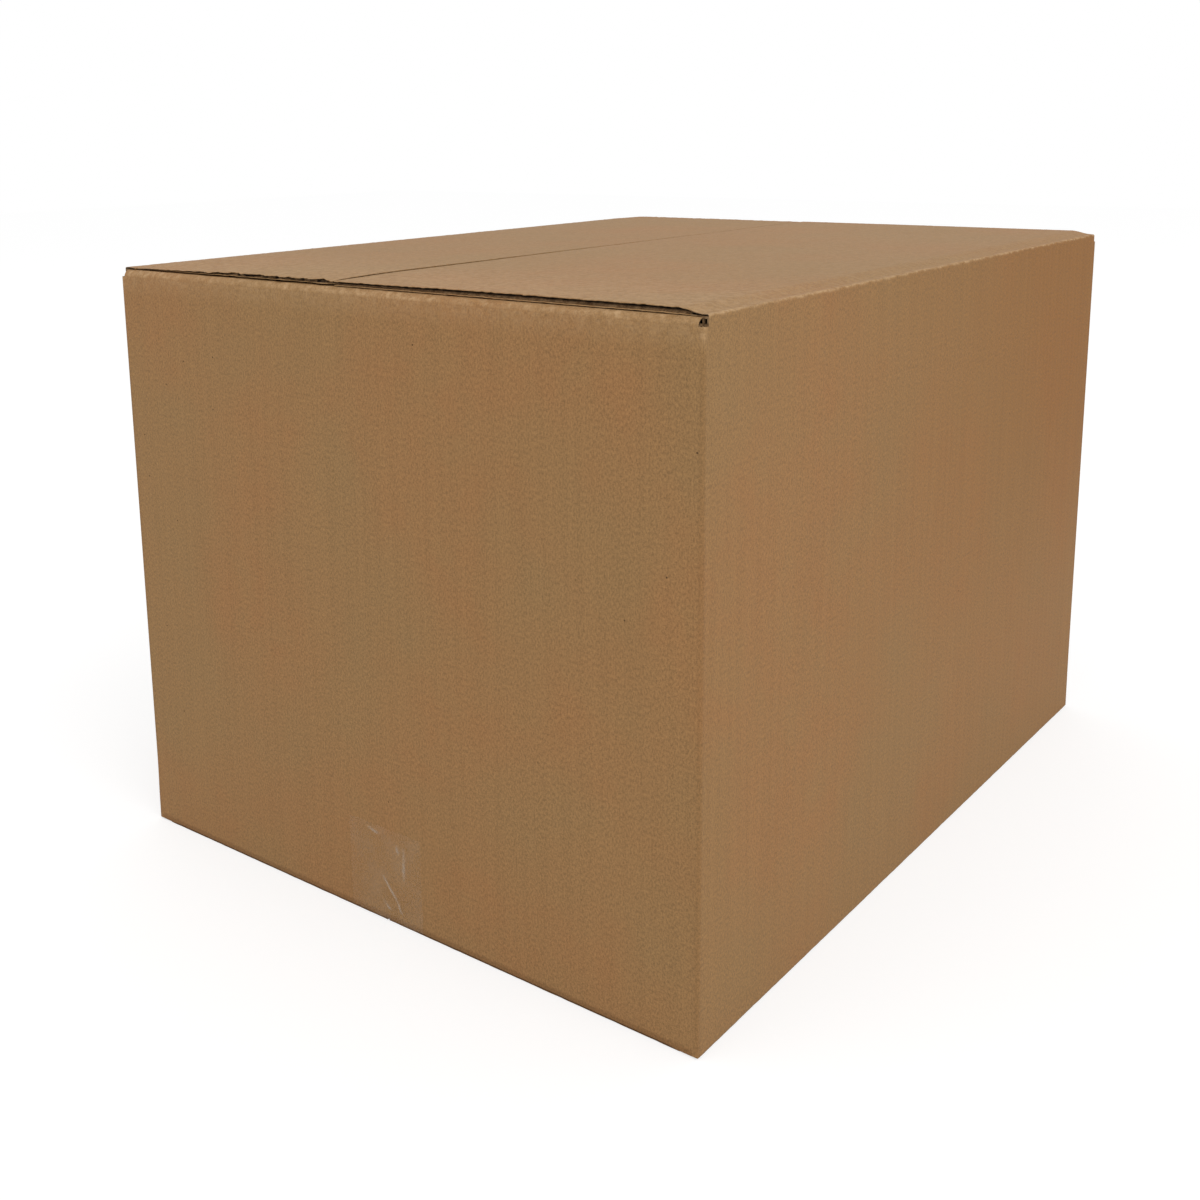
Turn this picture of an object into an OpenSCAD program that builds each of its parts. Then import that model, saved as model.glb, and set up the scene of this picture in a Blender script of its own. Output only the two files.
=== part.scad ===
// Closed slotted carton of single-wall corrugated board.
// X runs along the long panels, Y across the box, Z up; the origin is the centre of the base.
// The front long panel faces -Y, and the glued corner is where the back panel meets the +X end.

/* [Inside of the box] */
// Inside length, between the end panels
inside_l = 457.2; // [400:0.1:800]
// Inside width, between the long panels
inside_w = 355.6; // [260:0.1:600]
// Inside height, between the inner flaps
inside_h = 304.8; // [150:0.1:700]

/* [Board] */
// Thickness of the board
board_t = 3; // [2.4:0.1:4.5]
// Thickness of each liner
liner_t = 0.3; // [0.2:0.05:0.5]
// Thickness of the fluted medium between the liners
medium_t = 0.3; // [0.2:0.05:0.5]
// Distance from one flute to the next
flute_pitch = 6.4; // [4.5:0.1:9]
// Width of the glue line where the medium meets a liner
glue_line = 1.2; // [0.6:0.1:2]
// Inside radius of a folded crease
bend_in = 0.4; // [0.2:0.1:2]
// Air left between two plies that lie on each other
ply_gap = 0.2; // [0.1:0.05:1]

/* [Flaps] */
// How far the slots that part the flaps reach past the bend of each corner
slot_clear = 1; // [0.5:0.1:4]
// How far the top seam lies behind the middle of the box
seam_offset = 22.7; // [-40:0.1:40]
// Gap between the two flaps at the top seam
top_seam_gap = 1.2; // [0.6:0.1:6]
// Gap between the two flaps at the bottom seam
bottom_seam_gap = 1; // [0.6:0.1:6]
// Depth of the inner flaps, from the outside of the end panel
inner_flap_d = 180; // [80:1:190]
// Width over which an outer top flap rises from its crease
ramp_w = 13; // [6:0.5:30]
// Thickness of the crushed board at the crease of an outer top flap
crease_t = 1; // [0.6:0.1:2]

/* [Glued corner] */
// Width of the glued tab inside the box
tab_w = 35; // [15:1:60]
// Distance of the tab's ends from the creases of the end panel
tab_relief = 3; // [1:0.5:15]
// How much shorter the free edge of the tab is at each end
tab_taper = 9; // [2:1:20]
// Gap beside the cut edge of the end panel at the glued corner
cut_edge_gap = 0.3; // [0.1:0.1:2]

/* [Tape] */
// Width of the clear tape
tape_w = 48; // [24:1:75]
// Thickness of the tape, and the depth to which it is pressed into the board
tape_t = 0.1; // [0.05:0.05:0.2]
// Height to which the tape is turned up on each end panel
tape_up = 50; // [20:1:100]

/* [Hidden] */
outer_l = inside_l + 2 * board_t;
outer_w = inside_w + 2 * board_t;
outer_h = inside_h + 4 * board_t + 2 * ply_gap;
fold_r = board_t + bend_in;
slot_half = fold_r + slot_clear;
// The panels stand between the creases of the inner flaps, from wall_z0 to wall_z1
wall_z0 = board_t + ply_gap + fold_r;
wall_z1 = outer_h - wall_z0;
// Lengths of the flaps; those of the back panel stop short of the glued corner
end_len = outer_w - 2 * slot_half;
front_len = outer_l - 2 * slot_half;
back_len = front_len - board_t;
back_shift = -board_t / 2;
front_flap_d = outer_w / 2 + seam_offset - top_seam_gap / 2;
back_flap_d = outer_w / 2 - seam_offset - top_seam_gap / 2;
bottom_flap_d = (outer_w - bottom_seam_gap) / 2;
// Height of the medium's wave, and the straight steps along one side of it
wave_h = board_t - 2 * liner_t - medium_t;
channel_steps = 4;
// Steps of the tape's roll round the crease, and how far the cut for it reaches out of the board
roll_steps = 5;
clear_of_board = 1;
fold_fn = 48;
kraft = [0.60, 0.45, 0.30];
flap_kraft = [0.66, 0.52, 0.38];
clear_film = [0.85, 0.84, 0.80, 0.35];

// Turns a profile drawn in Y and Z into a bar along X, centred on x = shift.
module along_x(length, shift = 0) {
    translate([shift, 0, 0]) rotate([90, 0, 90]) linear_extrude(length, center = true) children();
}

// Turns a profile drawn in X and Z into a bar along Y, centred on y = 0.
module along_y(length) {
    rotate([90, 0, 0]) linear_extrude(length, center = true) children();
}

// Quarter of a bent board about the origin; sx and sy give the quadrant.
module bend(sx, sy) {
    intersection() {
        difference() {
            circle(fold_r, $fn = fold_fn);
            circle(fold_r - board_t, $fn = fold_fn);
        }
        translate([sx < 0 ? -fold_r : 0, sy < 0 ? -fold_r : 0]) square(fold_r);
    }
}

// The four panels and their upright creases, seen from above.
// At the glued corner the back panel turns in behind the cut edge of the end panel.
module panels_plan() {
    x = outer_l / 2;
    y = outer_w / 2;
    r = fold_r;
    t = board_t;
    translate([-x + r, -y]) square([outer_l - 2 * r, t]);
    translate([-x + r, y - t]) square([outer_l - 2 * r - t, t]);
    translate([-x, -y + r]) square([t, outer_w - 2 * r]);
    translate([x - t, -y + r]) square([t, outer_w - 2 * r - cut_edge_gap]);
    translate([-x + r, -y + r]) bend(-1, -1);
    translate([x - r, -y + r]) bend(1, -1);
    translate([-x + r, y - r]) bend(-1, 1);
    translate([x - t - r, y - r]) bend(1, 1);
}

// Tab that carries on from the back panel, glued to the inside of the end panel.
module glue_tab() {
    y = outer_w / 2 - fold_r;
    z0 = wall_z0 + tab_relief;
    z1 = wall_z1 - tab_relief;
    translate([outer_l / 2 - 2 * board_t, 0, 0]) rotate([90, 0, 90]) linear_extrude(board_t)
        polygon([[y, z0], [y, z1], [y - tab_w, z1 - tab_taper], [y - tab_w, z0 + tab_taper]]);
}

// Section of a long panel beyond the upright creases, y measured in from its outer face:
// the rim that carries the top flap, and the fold into the outer bottom flap.
module long_panel_section() {
    translate([0, wall_z1]) square([board_t, outer_h - board_t - wall_z1]);
    translate([0, fold_r]) square([board_t, wall_z0 - fold_r]);
    translate([fold_r, fold_r]) bend(-1, -1);
    translate([fold_r, 0]) square([bottom_flap_d - fold_r, board_t]);
}

// Section of an end panel beyond the upright creases, x measured in from its outer face:
// the folds into the inner top flap and the inner bottom flap.
module end_panel_section() {
    for (top = [0, 1]) translate([0, top * outer_h]) mirror([0, top]) {
        translate([fold_r, wall_z0]) bend(-1, -1);
        translate([fold_r, board_t + ply_gap]) square([inner_flap_d - fold_r, board_t]);
    }
}

// The whole folded sheet, apart from the two top flaps that swing.
module folded_sheet() {
    translate([0, 0, wall_z0]) linear_extrude(wall_z1 - wall_z0) panels_plan();
    glue_tab();
    along_x(front_len) translate([-outer_w / 2, 0]) long_panel_section();
    along_x(back_len, back_shift) translate([outer_w / 2, 0]) mirror([1, 0]) long_panel_section();
    for (side = [0, 1]) mirror([side, 0, 0])
        along_y(end_len) translate([-outer_l / 2, 0]) end_panel_section();
}

// One end of the tape's line, moved in from its outer face by inset, x from the end panel:
// down the panel, round the crease and across the step to the end of the bottom flap.
function tape_line(inset) =
    let (
        centre = [fold_r, wall_z0],
        to_centre = centre - [slot_half, 0],
        bridge = atan2(to_centre.y, to_centre.x) + asin(fold_r / norm(to_centre)),
        along = [cos(bridge), sin(bridge)],
        inward = [along.y, -along.x],
        roll = atan2(inward.y, inward.x),
        start = [slot_half, 0] + inset * (inward + (1 - inward.y) / along.y * along)
    ) [
        [inset, tape_up],
        for (i = [0 : roll_steps])
            let (a = i * roll / roll_steps) centre - (fold_r - inset) * [cos(a), sin(a)],
        start
    ];

// The same points in the opposite order.
function reversed(line) = [for (i = [len(line) - 1 : -1 : 0]) line[i]];

// A line of points drawn at one end of the box, and its mirror image at the other end.
function both_ends(line) = concat(
    [for (p = line) [p.x - outer_l / 2, p.y]],
    reversed([for (p = line) [outer_l / 2 - p.x, p.y]])
);

// Band over the bottom seam and up both end panels, from the tape's inner face out to inset.
module tape_band(inset) {
    along_y(tape_w) polygon(concat(both_ends(tape_line(inset)), reversed(both_ends(tape_line(tape_t)))));
}

// Curved side of a channel from dx = from to dx = to; its flat side is at height z on a liner.
function channel_side(x, z, up, pitch, from, to) = [
    for (i = [0 : channel_steps])
        let (dx = from + (to - from) * i / channel_steps)
        [x + dx, z - up * wave_h * (1 + cos(360 * dx / pitch)) / 2]
];

// One closed channel between a liner and the medium; up is 1 under the top liner, -1 over the bottom one.
module closed_channel(x, z, up, pitch, half) {
    polygon(concat([[x + half, z], [x - half, z]], channel_side(x, z, up, pitch, -half, half)));
}

// Cut section of the fluted board, centred on x = 0; each end is cut along an open channel.
module fluted_section(length) {
    flutes = round(length / flute_pitch);
    pitch = length / flutes;
    half = (pitch - glue_line) / 2;
    end = length / 2;
    under = board_t - liner_t;
    open_end = concat(
        [[end, 0]],
        channel_side(end, under, 1, pitch, 0, -half),
        [[end - half, under], [end, under], [end, board_t]]
    );
    difference() {
        polygon(concat(open_end, reversed([for (p = open_end) [-p.x, p.y]])));
        for (k = [0 : flutes - 1]) closed_channel((k + 0.5) * pitch - end, liner_t, -1, pitch, half);
        for (k = [1 : flutes - 1]) closed_channel(k * pitch - end, under, 1, pitch, half);
    }
}

// Outer top flap at the origin: its crease along X, its free edge at y = depth, its top at z = 0.
// From the crushed crease the board rises over the edge of the inner flap to its full thickness.
module top_flap(length, depth) {
    translate([0, depth, -board_t]) rotate([90, 0, 0]) linear_extrude(depth - ramp_w) fluted_section(length);
    along_x(length) translate([0, -board_t]) {
        polygon([[crease_t, 0], [ramp_w, 0], [ramp_w, board_t], [crease_t, crease_t]]);
        intersection() {
            translate([crease_t, 0]) circle(crease_t, $fn = fold_fn);
            square(crease_t);
        }
    }
}

module carton() {
    color(kraft) difference() {
        folded_sheet();
        tape_band(-clear_of_board);
    }
}

module front_flap() {
    color(flap_kraft) translate([0, -outer_w / 2, outer_h]) top_flap(front_len, front_flap_d);
}

module back_flap() {
    color(flap_kraft) translate([back_shift, outer_w / 2, outer_h]) mirror([0, 1, 0]) top_flap(back_len, back_flap_d);
}

module bottom_tape() {
    color(clear_film) tape_band(0);
}

carton();
front_flap();
back_flap();
bottom_tape();
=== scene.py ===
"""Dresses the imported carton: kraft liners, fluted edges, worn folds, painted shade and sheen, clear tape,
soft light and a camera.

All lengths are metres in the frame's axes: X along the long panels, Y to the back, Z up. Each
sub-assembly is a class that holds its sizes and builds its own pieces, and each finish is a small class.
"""

import logging
import math
from collections.abc import Callable, Iterator
from contextlib import contextmanager
from dataclasses import dataclass
from enum import Enum

import bmesh
import bpy
from mathutils import Matrix, Vector, noise


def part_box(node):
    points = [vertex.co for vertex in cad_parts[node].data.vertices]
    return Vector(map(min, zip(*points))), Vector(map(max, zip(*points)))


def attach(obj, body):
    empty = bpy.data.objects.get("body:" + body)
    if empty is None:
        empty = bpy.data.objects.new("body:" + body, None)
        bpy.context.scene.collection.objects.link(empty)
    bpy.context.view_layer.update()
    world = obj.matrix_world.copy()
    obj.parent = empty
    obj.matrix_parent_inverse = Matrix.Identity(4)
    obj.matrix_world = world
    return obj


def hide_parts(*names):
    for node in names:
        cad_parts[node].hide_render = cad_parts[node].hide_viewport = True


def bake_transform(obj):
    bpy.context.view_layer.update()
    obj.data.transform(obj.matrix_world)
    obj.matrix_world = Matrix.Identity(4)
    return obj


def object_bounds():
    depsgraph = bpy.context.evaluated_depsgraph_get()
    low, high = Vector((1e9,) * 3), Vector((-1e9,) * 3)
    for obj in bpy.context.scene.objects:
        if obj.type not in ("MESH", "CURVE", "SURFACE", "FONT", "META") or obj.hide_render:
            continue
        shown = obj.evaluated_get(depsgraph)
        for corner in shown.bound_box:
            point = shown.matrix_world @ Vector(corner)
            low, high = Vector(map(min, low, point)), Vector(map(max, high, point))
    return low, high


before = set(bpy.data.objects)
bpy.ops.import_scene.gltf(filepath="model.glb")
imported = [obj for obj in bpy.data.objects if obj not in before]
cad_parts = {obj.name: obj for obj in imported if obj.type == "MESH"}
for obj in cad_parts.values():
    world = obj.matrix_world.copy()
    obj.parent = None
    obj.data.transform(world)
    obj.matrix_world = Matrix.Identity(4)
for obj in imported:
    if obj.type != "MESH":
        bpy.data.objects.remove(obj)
CAD_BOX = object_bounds()
LOG = logging.getLogger("carton")

MM = 0.001
NEAR = 0.01 * MM
ON_FACE = 0.2 * MM
COLUMN = 8 * MM
Test = Callable[[Vector], bool]
Warp = Callable[[Vector], Vector]


class Side(Enum):
    """The four sides of the carton, by the turn about Z that brings the front side there."""

    FRONT = 0
    RIGHT = 90
    BACK = 180
    LEFT = 270


class Level(Enum):
    """The two ends of the carton that the flaps close."""

    TOP = 1
    BOTTOM = -1


@dataclass(frozen=True)
class Board:
    """Thicknesses of the corrugated board, and how it folds."""

    thickness: float
    liner: float = 0.35 * MM
    medium: float = 0.3 * MM
    flute_pitch: float = 6.4 * MM
    fold_radius: float = 3.4 * MM
    ply_gap: float = 0.2 * MM

    @property
    def wave(self) -> float:
        """Height of the wave's middle line, from trough to crest."""
        return self.thickness - 2 * self.liner - self.medium - 0.04 * MM

    def corner_reach(self, way: Vector, radius: float) -> float:
        """Distance from the middle of a fold to its outer side, pressed to a sharper corner.

        Args:
            way: Direction of length 1 in the fold's own quarter, with both parts positive.
            radius: Radius of the sharper corner.
        Returns:
            The distance in that direction.
        """
        flat = self.fold_radius - radius
        straight = self.fold_radius / max(way)
        if straight * min(way) <= flat:
            return straight
        along = flat * (way.x + way.y)
        return along + math.sqrt(along**2 - 2 * flat**2 + radius**2)


@dataclass(frozen=True)
class CartonSizes:
    """Sizes of the whole carton, read from the frame."""

    half_length: float
    half_width: float
    height: float
    rim_top: float
    board: Board

    @classmethod
    def from_frame(cls) -> "CartonSizes":
        """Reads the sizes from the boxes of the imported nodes.

        Returns:
            The sizes that every sub-assembly works from.
        """
        low, high = CAD_BOX
        flap_low, flap_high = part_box("front_flap")
        board = Board(thickness=flap_high.z - flap_low.z)
        return cls(high.x, high.y, high.z, flap_low.z, board)

    @property
    def ring_low(self) -> float:
        """Height at which the upright panels start."""
        return self.board.thickness + self.board.ply_gap + self.board.fold_radius

    @property
    def ring_high(self) -> float:
        """Height at which the upright panels end and the folds begin."""
        return self.height - self.ring_low


def soft_step(value: float) -> float:
    """Rises smoothly from 0 to 1 as value goes from 0 to 1."""
    t = min(1.0, max(0.0, value))
    return t * t * (3 - 2 * t)


@dataclass(frozen=True)
class ShadeTint:
    """Painted shade: a darker, warmer brown on the front panel, growing towards its upper right, that
    stands in for the weaker sheen there.
    """

    sizes: CartonSizes
    most: float = 0.65
    low_share: float = 0.25
    low: float = 60 * MM
    rise: float = 180 * MM
    across: float = 2.1
    skin: float = 3 * MM
    fade: float = 2 * MM

    def at(self, p: Vector) -> float:
        """Share of the painted shade at a place."""
        s = self.sizes
        front = soft_step((self.skin - s.half_width - p.y) / self.fade)
        right = soft_step((p.x + s.half_length) / (self.across * s.half_length))
        up = self.low_share + (1 - self.low_share) * soft_step((p.z - self.low) / self.rise)
        return self.most * front * right * up


def ripple(point: Vector, grain: float, seed: float) -> float:
    """Smooth noise of about -1 to 1 that changes over the length grain.

    Args:
        point: Place in the frame.
        grain: Size of one bump.
        seed: Picks another pattern of the same kind.
    Returns:
        The noise's value there.
    """
    return noise.noise(point / grain + Vector((seed, -seed, 2 * seed)))


@contextmanager
def editing(piece: bpy.types.Object, select: str = "EDGE") -> Iterator[bmesh.types.BMesh]:
    """Opens one piece in edit mode with nothing selected, and closes it again.

    Args:
        piece: The mesh object to edit.
        select: What is being picked: VERT, EDGE or FACE.
    Yields:
        The mesh that is being edited.
    """
    focus(piece)
    bpy.ops.object.mode_set(mode="EDIT")
    bpy.ops.mesh.select_mode(type=select)
    bpy.ops.mesh.select_all(action="DESELECT")
    yield bmesh.from_edit_mesh(piece.data)
    bpy.ops.object.mode_set(mode="OBJECT")


def focus(*pieces: bpy.types.Object) -> None:
    """Selects only these objects and makes the first one active."""
    bpy.ops.object.select_all(action="DESELECT")
    for piece in pieces:
        piece.select_set(True)
    bpy.context.view_layer.objects.active = pieces[0]


def pick_edges(mesh: bmesh.types.BMesh, test: Test) -> None:
    """Selects the edges whose two ends both pass the test.

    Args:
        mesh: The mesh in edit mode.
        test: Says whether a vertex's place belongs to the edge that is wanted.
    """
    for edge in mesh.edges:
        if all(test(vertex.co) for vertex in edge.verts):
            edge.select_set(True)


def pick_faces(mesh: bmesh.types.BMesh, test: Callable[[bmesh.types.BMFace], bool]) -> None:
    """Selects the faces that pass the test.

    Args:
        mesh: The mesh in edit mode.
        test: Says whether a face is wanted.
    """
    for face in [f for f in mesh.faces if test(f)]:
        face.select_set(True)


def extrude(move: tuple[float, float, float], steps: int = 1) -> None:
    """Extrudes what is selected along move, in equal steps."""
    step = Vector(move) / steps
    for _ in range(steps):
        bpy.ops.mesh.extrude_region_move(TRANSFORM_OT_translate={"value": step})


def finish_with(piece: bpy.types.Object, kind: str, **settings: object) -> None:
    """Adds one modifier with these settings and applies it.

    Args:
        piece: The mesh object.
        kind: The modifier's type, such as SOLIDIFY.
        settings: Values of the modifier's properties.
    """
    focus(piece)
    modifier = piece.modifiers.new(kind.title(), kind)
    for name, value in settings.items():
        setattr(modifier, name, value)
    bpy.ops.object.modifier_apply(modifier=modifier.name)


def settle(piece: bpy.types.Object) -> None:
    """Applies the object's own place, turn and scale to its mesh."""
    focus(piece)
    bpy.ops.object.transform_apply(location=True, rotation=True, scale=True)


def face_outwards(piece: bpy.types.Object) -> None:
    """Points the faces of a closed mesh outwards."""
    with editing(piece, "FACE"):
        bpy.ops.mesh.select_all(action="SELECT")
        bpy.ops.mesh.normals_make_consistent(inside=False)


def face_along(piece: bpy.types.Object, outward: Vector) -> None:
    """Merges the doubles of an open sheet and points its faces outwards.

    Args:
        piece: The sheet, before it gets its thickness.
        outward: The outer side of the face that lies farthest in this direction.
    """
    with editing(piece, "VERT"):
        bpy.ops.mesh.select_all(action="SELECT")
        bpy.ops.mesh.remove_doubles(threshold=0.001 * MM)
        bpy.ops.mesh.normals_make_consistent(inside=False)
    farthest = max(piece.data.polygons, key=lambda f: f.center.dot(outward))
    if farthest.normal.dot(outward) < 0:
        with editing(piece, "FACE"):
            bpy.ops.mesh.select_all(action="SELECT")
            bpy.ops.mesh.flip_normals()


def flat_grid(name: str, low: Vector, high: Vector, columns: int, rows: int) -> bpy.types.Object:
    """Adds a level grid between two corners.

    Args:
        name: Name of the new object.
        low: Corner with the lowest X and Y; its Z is the grid's height.
        high: Corner with the highest X and Y.
        columns: Faces along X.
        rows: Faces along Y.
    Returns:
        The grid, with its place in its mesh.
    """
    middle = (low + high) / 2
    bpy.ops.mesh.primitive_grid_add(
        x_subdivisions=columns, y_subdivisions=rows, size=1, location=(middle.x, middle.y, low.z)
    )
    grid = bpy.context.object
    grid.name = name
    grid.scale = (high.x - low.x, high.y - low.y, 1)
    settle(grid)
    return grid


def join(name: str, parts: list[bpy.types.Object]) -> bpy.types.Object:
    """Joins meshes into one piece, named after what it is.

    Args:
        name: Name of the piece.
        parts: The meshes; the first one keeps its material slots' order.
    Returns:
        The joined piece.
    """
    focus(*parts)
    bpy.ops.object.join()
    piece = bpy.context.object
    piece.name = name
    piece.data.name = name
    return piece


def smooth(piece: bpy.types.Object) -> None:
    """Shades a piece smooth, apart from its cut edges."""
    focus(piece)
    bpy.ops.object.shade_smooth_by_angle(angle=math.radians(40))


def reshape(piece: bpy.types.Object, warp: Warp) -> None:
    """Moves every vertex of a piece to the place that warp gives."""
    for vertex in piece.data.vertices:
        vertex.co = warp(vertex.co)
    piece.data.update()


def open_channels(
    piece: bpy.types.Object,
    ends: tuple[float, float],
    wall: float,
    depth: float,
    span: tuple[float, float] = (-1.0, 1.0),
) -> None:
    """Sinks a channel into both cut ends of a strip and leaves its liners standing.

    Args:
        piece: A closed strip whose second material slot is the fluted medium.
        ends: X of the two cut ends.
        wall: Thickness that is left all round a channel.
        depth: How deep the channels go.
        span: Heights between which the cut ends are opened.
    """

    def opens(face: bmesh.types.BMFace, x: float) -> bool:
        """Tells whether a face lies on one cut end, within the span."""
        middle = face.calc_center_median()
        return abs(middle.x - x) < NEAR and span[0] < middle.z < span[1]

    for x, inward in zip(ends, (1, -1)):
        with editing(piece, "FACE") as mesh:
            pick_faces(mesh, lambda f: opens(f, x))
            for face in mesh.faces:
                face.material_index = 1 if face.select else face.material_index
            bpy.ops.mesh.inset(thickness=wall, use_even_offset=True)
            extrude((inward * depth, 0, 0))


def stand_on(piece: bpy.types.Object, side: Side, level: Level, shift: Vector) -> None:
    """Turns a piece that was modelled on the front top edge to its own side and level.

    Args:
        piece: Modelled with its hinge line along X at the origin and its flap towards +Y, top at z = 0.
        side: The side of the carton that it belongs to.
        level: The end of the carton that it belongs to.
        shift: Where the origin of that model goes.
    """
    turn = Matrix.Rotation(math.radians(side.value), 4, "Z")
    flip = Matrix.Diagonal((1, 1, level.value, 1))
    piece.data.transform(Matrix.Translation(shift) @ turn @ flip)
    face_outwards(piece)


def lay_grain(piece: bpy.types.Object, board: Callable[[Vector, Vector], tuple[float, float]]) -> None:
    """Writes a UV map in metres whose U runs across the flutes and V along them.

    Args:
        piece: The piece to map.
        board: Gives U and V for a vertex's place and its face's normal.
    """
    layer = piece.data.uv_layers.get("Board") or piece.data.uv_layers.new(name="Board")
    for polygon in piece.data.polygons:
        for corner in polygon.loop_indices:
            place = piece.data.vertices[piece.data.loops[corner].vertex_index].co
            layer.data[corner].uv = board(place, polygon.normal)


def mark(piece: bpy.types.Object, name: str, value: Callable[[Vector], float]) -> None:
    """Stores a value at each vertex, such as its wear and painted shade, for the finishes to read.

    Args:
        piece: The piece to mark.
        name: Name of the attribute.
        value: Gives the value at a vertex's place.
    """
    attribute = piece.data.attributes.get(name) or piece.data.attributes.new(name, "FLOAT", "POINT")
    attribute.data.foreach_set("value", [value(v.co) for v in piece.data.vertices])


class Nodes:
    """Short calls for wiring the nodes of a material or of the world."""

    def __init__(self, owner: bpy.types.Material | bpy.types.World) -> None:
        """Empties the owner's node tree, to be wired anew."""
        owner.use_nodes = True
        self.tree = owner.node_tree
        self.tree.nodes.clear()

    def add(self, kind: str, **settings: object) -> bpy.types.Node:
        """Adds a node and sets its properties.

        Args:
            kind: The node's type, without the ShaderNode before it.
            settings: Values of the node's own properties.
        Returns:
            The new node.
        """
        node = self.tree.nodes.new("ShaderNode" + kind)
        for name, value in settings.items():
            setattr(node, name, value)
        return node

    def link(self, source: bpy.types.NodeSocket, target: bpy.types.NodeSocket) -> None:
        """Links an output to an input."""
        self.tree.links.new(source, target)

    def set(self, target: bpy.types.NodeSocket, value: object) -> None:
        """Links value to the input where it is an output, and otherwise stores it there."""
        if isinstance(value, bpy.types.NodeSocket):
            self.link(value, target)
        else:
            target.default_value = value

    def math(self, operation: str, *values: object, clamp: bool = False) -> bpy.types.NodeSocket:
        """Adds a Math node.

        Args:
            operation: The node's operation, such as MULTIPLY.
            values: Its inputs, numbers or outputs of other nodes.
            clamp: Keeps the result between 0 and 1.
        Returns:
            The node's output.
        """
        node = self.add("Math", operation=operation, use_clamp=clamp)
        for socket, value in zip(node.inputs, values):
            self.set(socket, value)
        return node.outputs[0]

    def noise(
        self, place: object, scale: float, detail: float = 2.0, rough: float = 0.5
    ) -> bpy.types.NodeSocket:
        """Adds noise of about 0 to 1.

        Args:
            place: The coordinates that it reads.
            scale: Bumps for each metre.
            detail: Finer layers of the noise.
            rough: Strength of the finer layers.
        Returns:
            The noise's value.
        """
        node = self.add("TexNoise")
        self.set(node.inputs["Vector"], place)
        node.inputs["Scale"].default_value = scale
        node.inputs["Detail"].default_value = detail
        node.inputs["Roughness"].default_value = rough
        return node.outputs["Fac"]

    def ramp(
        self, value: object, low: float, high: float, start: float = 0.0, end: float = 1.0
    ) -> bpy.types.NodeSocket:
        """Maps value from low..high to start..end, smoothly and within those ends.

        Args:
            value: The output that is read.
            low: Value that gives start.
            high: Value that gives end.
            start: Result at low.
            end: Result at high.
        Returns:
            The mapped value.
        """
        node = self.add("MapRange", interpolation_type="SMOOTHSTEP")
        for socket, given in zip(node.inputs, (value, low, high, start, end)):
            self.set(socket, given)
        return node.outputs[0]

    def blend(self, share: object, one: object, other: object, how: str = "MIX") -> bpy.types.NodeSocket:
        """Mixes two colours.

        Args:
            share: How much of the other colour is used, from 0 to 1.
            one: The first colour.
            other: The second colour.
            how: The way of mixing, such as MULTIPLY.
        Returns:
            The mixed colour.
        """
        node = self.add("Mix", data_type="RGBA", blend_type=how)
        self.set(node.inputs[0], share)
        self.set(node.inputs[6], one)
        self.set(node.inputs[7], other)
        return node.outputs[2]

    def stretched(self, place: object, scale: tuple[float, float, float]) -> bpy.types.NodeSocket:
        """Stretches coordinates by a factor along each axis."""
        node = self.add("Mapping")
        self.set(node.inputs["Vector"], place)
        node.inputs["Scale"].default_value = scale
        return node.outputs[0]

    def attribute(self, name: str) -> bpy.types.NodeSocket:
        """Reads a value that mark stored at the vertices."""
        return self.add("Attribute", attribute_type="GEOMETRY", attribute_name=name).outputs["Fac"]

    def shown(self) -> bpy.types.NodeSocket:
        """1 for what the camera sees, straight, in a reflection or through a clear film."""
        path = self.add("LightPath")
        straight = self.math("ADD", path.outputs["Is Camera Ray"], path.outputs["Is Glossy Ray"])
        return self.math("ADD", straight, path.outputs["Is Transmission Ray"], clamp=True)


class Surface(Nodes):
    """A new material's nodes, with a Principled BSDF wired to the output."""

    def __init__(self, name: str) -> None:
        """Starts the material."""
        self.material = bpy.data.materials.new(name)
        super().__init__(self.material)
        self.shader = self.add("BsdfPrincipled")
        self.output = self.add("OutputMaterial")
        self.link(self.shader.outputs["BSDF"], self.output.inputs["Surface"])

    def bump(self, height: bpy.types.NodeSocket, strength: float) -> None:
        """Wires a height in metres into the shader's normal.

        Args:
            height: The height at each place.
            strength: Share of the height that shows.
        """
        node = self.add("Bump")
        node.inputs["Strength"].default_value = strength
        node.inputs["Distance"].default_value = 1.0
        self.link(height, node.inputs["Height"])
        self.link(node.outputs[0], self.shader.inputs["Normal"])


def linear(red: float, green: float, blue: float) -> tuple[float, float, float, float]:
    """Turns a colour as it shows on a screen, from 0 to 255, into the shader's linear values."""

    def channel(value: float) -> float:
        """One channel of the colour."""
        share = value / 255
        return share / 12.92 if share <= 0.04045 else ((share + 0.055) / 1.055) ** 2.4

    return (channel(red), channel(green), channel(blue), 1.0)


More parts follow.
